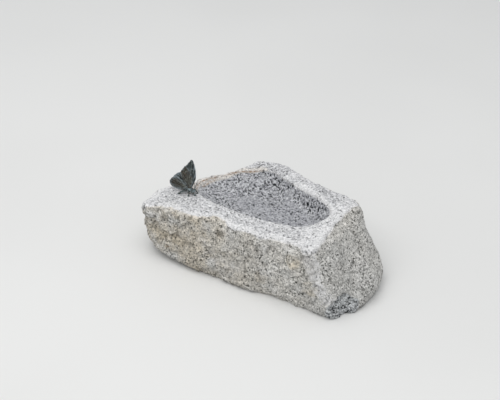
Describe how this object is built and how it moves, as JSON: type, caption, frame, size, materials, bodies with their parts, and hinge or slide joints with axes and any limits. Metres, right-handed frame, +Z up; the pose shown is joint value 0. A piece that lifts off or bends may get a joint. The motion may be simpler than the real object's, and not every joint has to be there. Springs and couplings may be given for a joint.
{
  "type": "insect water bowl",
  "caption": "Rough-split granite block with a shallow carved basin, a drinking place for insects, with a patinated bronze butterfly pinned to its rim.",
  "frame": {"origin": "centre of the block's flat underside, on the ground", "axes": "+Z up; +X along the block from the small end with the butterfly to the battered big end; +Y towards the back, where the rim is thinnest"},
  "size_m": [0.3462, 0.2039, 0.1388],
  "materials": {
    "granite": "rough split outside, pitched rim, bush-hammered basin",
    "bronze_body": "cast bronze, dark blue-green patina, matt",
    "bronze_wing": "cast bronze, dark patina with brown faces and blue-green margins, matt",
    "bronze_wire": "bronze wire, dark patina, matt",
    "stud_steel": "plain threaded rod",
    "anchor_resin": "cured grey adhesive"
  },
  "bodies": {
    "root": {"stone_bowl": "granite", "resin_anchor": "anchor_resin", "mounting_stud": "stud_steel", "butterfly_body": "bronze_body", "left_forewing": "bronze_wing", "right_forewing": "bronze_wing", "left_hindwing": "bronze_wing", "right_hindwing": "bronze_wing", "left_front_leg": "bronze_wire", "right_front_leg": "bronze_wire", "left_middle_leg": "bronze_wire", "right_middle_leg": "bronze_wire", "left_hind_leg": "bronze_wire", "right_hind_leg": "bronze_wire", "left_antenna": "bronze_wire", "right_antenna": "bronze_wire"}
  },
  "joints": []
}
